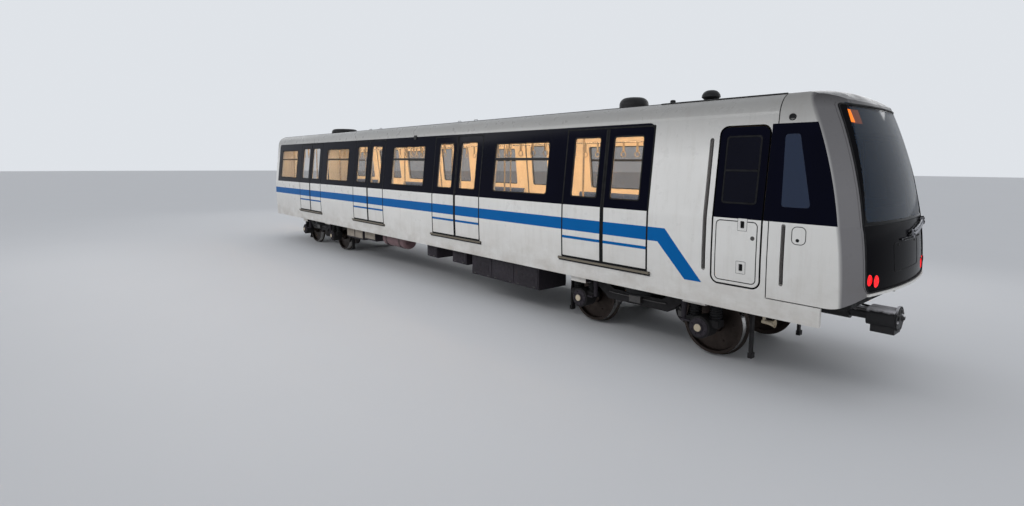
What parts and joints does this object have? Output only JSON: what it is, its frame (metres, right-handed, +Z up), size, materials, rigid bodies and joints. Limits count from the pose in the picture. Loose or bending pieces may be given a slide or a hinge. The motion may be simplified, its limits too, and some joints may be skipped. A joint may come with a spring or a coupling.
{
  "type": "metro car",
  "caption": "Leading metro car with cab, sliding passenger doors, gangway end and two bogies on flanged wheels.",
  "frame": {"origin": "middle of the car's length and width, at the lowest point of the wheel flanges", "axes": "+X along the car towards the cab end, +Y across to the car's left, +Z up"},
  "size_m": [18.1994, 2.84, 3.687],
  "materials": {
    "body_paint": "satin",
    "cab_paint": "satin",
    "roof_paint": "satin",
    "underframe_paint": "matte",
    "steel": "machined",
    "bellows_rubber": "matte",
    "tinted_glass": "polished",
    "black_gloss": "glossy",
    "side_glass": "polished",
    "dark_glass": "glossy",
    "handle_metal": "satin",
    "lamp_glass": "glossy",
    "wiper_metal": "satin",
    "rubber": "matte",
    "sill_metal": "satin",
    "interior_panel": "satin",
    "light_diffuser": "satin",
    "seat_plastic": "satin",
    "pole_steel": "polished",
    "desk_plastic": "matte",
    "seat_fabric": "woven",
    "case_paint": "satin",
    "coupler_metal": "worn",
    "black_plastic": "matte",
    "bogie_paint": "matte",
    "wheel_steel": "worn"
  },
  "bodies": {
    "car_body": {"side_walls": "body_paint", "roof": "roof_paint", "underframe": "underframe_paint", "centre_pivots": "steel", "rear_end_wall": "body_paint", "gangway_bellows": "bellows_rubber", "cab_shell": "cab_paint", "front_rim": "body_paint", "windscreen": "tinted_glass", "front_panel": "black_gloss", "side_glass": "side_glass", "passenger_doors": "body_paint", "dark_glazing": "dark_glass", "handrails": "handle_metal", "front_lamps": "lamp_glass", "wiper": "wiper_metal", "door_seals": "rubber", "door_sills": "sill_metal", "ceiling": "interior_panel", "ceiling_lights": "light_diffuser", "benches": "seat_plastic", "grab_poles": "pole_steel", "cab_bulkhead": "interior_panel", "door_hinges": "steel", "driver_desk": "desk_plastic", "driver_seat": "seat_fabric", "underfloor_cases": "case_paint", "air_reservoirs": "case_paint", "front_coupler": "coupler_metal", "rear_drawbar": "coupler_metal", "roof_domes": "black_plastic"},
    "cab_door_right": {"cab_door_right": "body_paint", "cab_door_glass_right": "side_glass", "cab_door_trim_right": "dark_glass"},
    "cab_door_left": {"cab_door_left": "body_paint", "cab_door_glass_left": "side_glass", "cab_door_trim_left": "dark_glass"},
    "bulkhead_door": {"bulkhead_door": "interior_panel"},
    "bogie_front": {"bogie_frame_front": "bogie_paint", "traction_motors_front": "bogie_paint", "suspension_front": "bogie_paint"},
    "bogie_rear": {"bogie_frame_rear": "bogie_paint", "traction_motors_rear": "bogie_paint", "suspension_rear": "bogie_paint"},
    "wheelset_1": {"wheelset_1": "wheel_steel"},
    "wheelset_2": {"wheelset_2": "wheel_steel"},
    "wheelset_3": {"wheelset_3": "wheel_steel"},
    "wheelset_4": {"wheelset_4": "wheel_steel"}
  },
  "joints": [
    {"name": "cab_door_right_swing", "type": "hinge", "parent": "car_body", "child": "cab_door_right", "pos_m": [7.382, -1.226, 2], "axis": [0, 0, 1], "range_deg": [0, 85]},
    {"name": "cab_door_left_swing", "type": "hinge", "parent": "car_body", "child": "cab_door_left", "pos_m": [7.382, 1.226, 2], "axis": [0, 0, -1], "range_deg": [0, 85]},
    {"name": "bulkhead_door_swing", "type": "hinge", "parent": "car_body", "child": "bulkhead_door", "pos_m": [7.114, 0.322, 2], "axis": [0, 0, -1], "range_deg": [0, 90]},
    {"name": "bogie_front_yaw", "type": "hinge", "parent": "car_body", "child": "bogie_front", "pos_m": [6.06, 0, 0.7], "axis": [0, 0, 1], "range_deg": [-4, 4]},
    {"name": "wheelset_1_spin", "type": "hinge", "parent": "bogie_front", "child": "wheelset_1", "pos_m": [7.11, 0, 0.458], "axis": [0, 1, 0], "continuous": true},
    {"name": "wheelset_2_spin", "type": "hinge", "parent": "bogie_front", "child": "wheelset_2", "pos_m": [5.01, 0, 0.458], "axis": [0, 1, 0], "continuous": true},
    {"name": "bogie_rear_yaw", "type": "hinge", "parent": "car_body", "child": "bogie_rear", "pos_m": [-5.69, 0, 0.7], "axis": [0, 0, 1], "range_deg": [-4, 4]},
    {"name": "wheelset_3_spin", "type": "hinge", "parent": "bogie_rear", "child": "wheelset_3", "pos_m": [-4.64, 0, 0.458], "axis": [0, 1, 0], "continuous": true},
    {"name": "wheelset_4_spin", "type": "hinge", "parent": "bogie_rear", "child": "wheelset_4", "pos_m": [-6.74, 0, 0.458], "axis": [0, 1, 0], "continuous": true}
  ]
}
